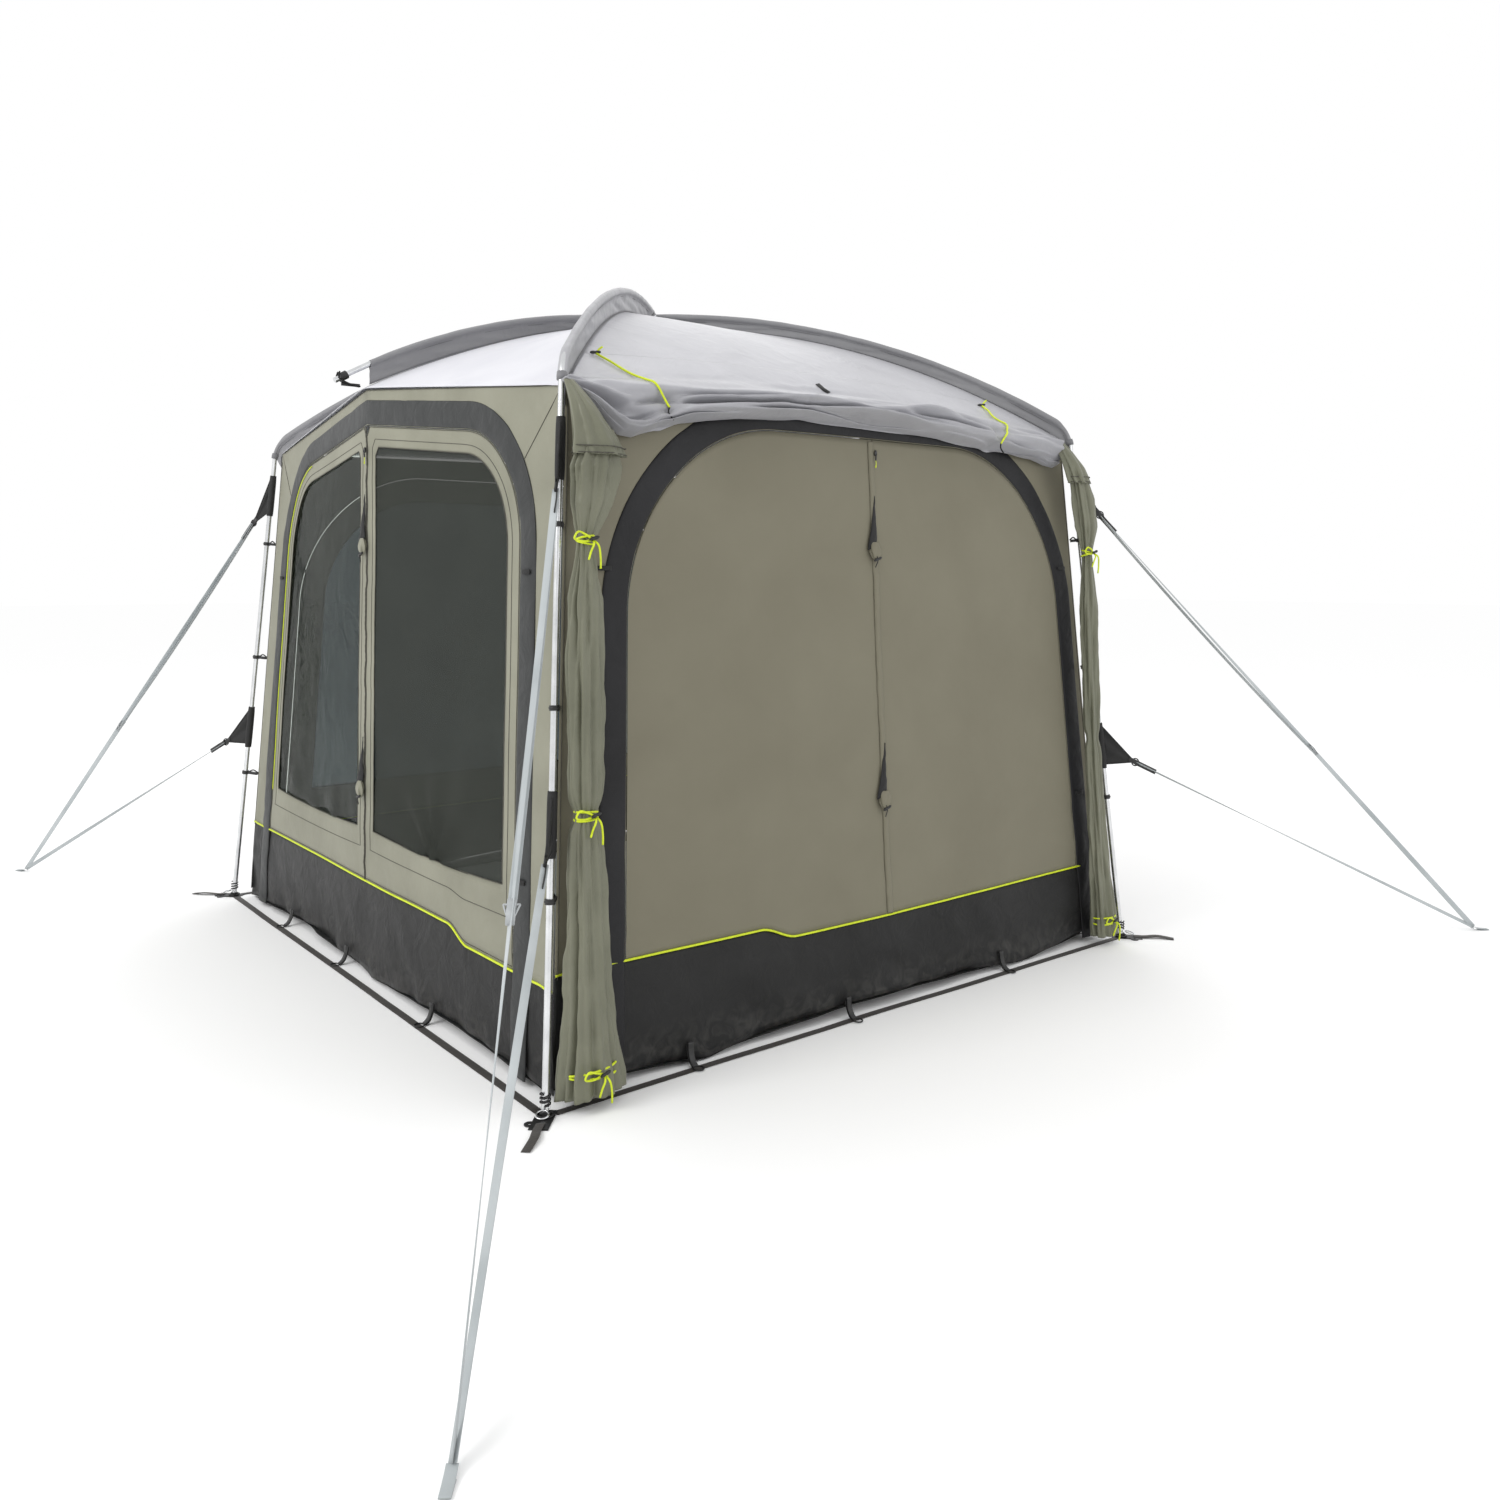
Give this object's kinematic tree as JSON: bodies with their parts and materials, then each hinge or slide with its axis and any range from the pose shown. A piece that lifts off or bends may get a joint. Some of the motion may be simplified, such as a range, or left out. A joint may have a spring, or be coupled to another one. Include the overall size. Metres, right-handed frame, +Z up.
{
  "type": "screen house",
  "caption": "Free-standing camping screen house: square tent on steel poles with arched zip doors, mesh windows, rolled-up tunnel roof and webbing guy lines.",
  "frame": {"origin": "on the ground, midway between the four feet", "axes": "+Z up; the gable door wall under the ridge pole faces -Y, and the side wall with the rolled-up tunnel faces +X"},
  "size_m": [4.8309, 4.3801, 2.4366],
  "materials": {
    "steel_pole": "drawn galvanised steel tube, satin",
    "sleeve_cloth": "mid grey coated polyester",
    "roof_cloth": "near white coated polyester, slight sheen",
    "tunnel_cloth": "light grey coated polyester",
    "olive_cloth": "olive beige coated polyester",
    "dark_olive_cloth": "olive coated polyester",
    "band_cloth": "charcoal oxford cloth",
    "mud_wall_cloth": "charcoal coated cloth with a dusty hem",
    "patch_cloth": "black heavy cloth",
    "ground_webbing": "dark grey woven webbing",
    "guy_webbing": "light grey reflective webbing",
    "mesh": "fine black insect mesh",
    "clear_film": "clear flexible film, glossy",
    "tinted_film": "blue grey tinted film",
    "black_plastic": "black moulded plastic",
    "grey_plastic": "light grey moulded plastic",
    "zip_metal": "black painted zip slider"
  },
  "bodies": {
    "root": {"leg_near": "steel_pole", "leg_right": "steel_pole", "leg_far": "steel_pole", "leg_left": "steel_pole", "roof_pole_upper": "steel_pole", "roof_pole_lower": "steel_pole", "ridge_pole": "steel_pole", "sleeve_upper": "sleeve_cloth", "sleeve_lower": "sleeve_cloth", "sleeve_ridge": "sleeve_cloth", "foot_fittings": "black_plastic", "ground_straps": "ground_webbing", "pole_ties": "black_plastic", "roof_front": "roof_cloth", "roof_right": "roof_cloth", "roof_back": "roof_cloth", "roof_left": "roof_cloth", "front_wall": "olive_cloth", "front_mud_wall": "mud_wall_cloth", "front_band": "band_cloth", "right_wall": "dark_olive_cloth", "right_mud_wall": "mud_wall_cloth", "right_band": "band_cloth", "back_wall": "olive_cloth", "back_mud_wall": "mud_wall_cloth", "back_band": "band_cloth", "left_wall": "olive_cloth", "left_mud_wall": "mud_wall_cloth", "left_band": "band_cloth", "left_window": "tinted_film", "tunnel_roll": "tunnel_cloth", "tunnel_sides": "dark_olive_cloth", "guy_patches": "patch_cloth", "guy_buckles": "black_plastic", "guy_near_upper": "guy_webbing", "guy_near_lower": "guy_webbing", "guy_right_upper": "guy_webbing", "guy_right_lower": "guy_webbing", "guy_far_upper": "guy_webbing", "guy_far_lower": "guy_webbing", "guy_left_upper": "guy_webbing", "guy_left_lower": "guy_webbing", "guy_end_loops": "guy_webbing"},
    "front_right_door": {"front_right_leaf": "olive_cloth", "front_right_window": "mesh"},
    "front_left_door": {"front_left_leaf": "olive_cloth", "front_left_window": "clear_film"},
    "back_right_door": {"back_right_leaf": "olive_cloth", "back_right_window": "mesh"},
    "back_left_door": {"back_left_leaf": "olive_cloth", "back_left_window": "mesh"},
    "right_far_door": {"right_far_leaf": "dark_olive_cloth"},
    "right_near_door": {"right_near_leaf": "dark_olive_cloth"},
    "zip_slider_front": {"zip_pull_front": "zip_metal"},
    "zip_slider_right": {"zip_pull_right": "zip_metal"},
    "zip_slider_back": {"zip_pull_back": "zip_metal"},
    "guy_slider_near": {"slider_near": "grey_plastic"},
    "guy_slider_right": {"slider_right": "grey_plastic"},
    "guy_slider_far": {"slider_far": "grey_plastic"},
    "guy_slider_left": {"slider_left": "grey_plastic"}
  },
  "joints": [
    {"name": "front_right_door_hinge", "type": "hinge", "parent": "root", "child": "front_right_door", "pos_m": [1.05403, -1.15936, 0.4], "axis": [-0.0493, 0.0447, 0.9978], "range_deg": [0, 95]},
    {"name": "front_left_door_hinge", "type": "hinge", "parent": "root", "child": "front_left_door", "pos_m": [-1.05403, -1.15936, 0.4], "axis": [-0.0493, -0.0447, -0.9978], "range_deg": [0, 95]},
    {"name": "back_right_door_hinge", "type": "hinge", "parent": "root", "child": "back_right_door", "pos_m": [-1.05403, 1.15936, 0.4], "axis": [0.0493, -0.0447, 0.9978], "range_deg": [0, 95]},
    {"name": "back_left_door_hinge", "type": "hinge", "parent": "root", "child": "back_left_door", "pos_m": [1.05403, 1.15936, 0.4], "axis": [0.0493, 0.0447, -0.9978], "range_deg": [0, 95]},
    {"name": "right_far_door_hinge", "type": "hinge", "parent": "root", "child": "right_far_door", "pos_m": [1.27987, 1.0287, 0.4], "axis": [-0.0595, -0.0481, 0.9971], "range_deg": [0, 90]},
    {"name": "right_near_door_hinge", "type": "hinge", "parent": "root", "child": "right_near_door", "pos_m": [1.28181, -0.93676, 0.4], "axis": [0.0594, -0.0438, -0.9973], "range_deg": [0, 90]},
    {"name": "front_zip", "type": "slide", "parent": "front_right_door", "child": "zip_slider_front", "axis": [0.0005, -0.0005, -1], "range_m": [0, 1.35]},
    {"name": "right_zip", "type": "slide", "parent": "right_far_door", "child": "zip_slider_right", "axis": [0.0585, 0.0027, -0.9983], "range_m": [0, 1.35]},
    {"name": "back_zip", "type": "slide", "parent": "back_right_door", "child": "zip_slider_back", "axis": [-0.0005, 0.0005, -1], "range_m": [0, 1.35]},
    {"name": "near_guy_tension", "type": "slide", "parent": "root", "child": "guy_slider_near", "axis": [-0.5097, 0.3743, 0.7747], "range_m": [-0.3, 0.4]},
    {"name": "right_guy_tension", "type": "slide", "parent": "root", "child": "guy_slider_right", "axis": [-0.3996, -0.5457, 0.7366], "range_m": [-0.3, 0.4]},
    {"name": "far_guy_tension", "type": "slide", "parent": "root", "child": "guy_slider_far", "axis": [0.4818, -0.4434, 0.7558], "range_m": [-0.3, 0.4]},
    {"name": "left_guy_tension", "type": "slide", "parent": "root", "child": "guy_slider_left", "axis": [0.5346, 0.3397, 0.7738], "range_m": [-0.3, 0.4]}
  ]
}
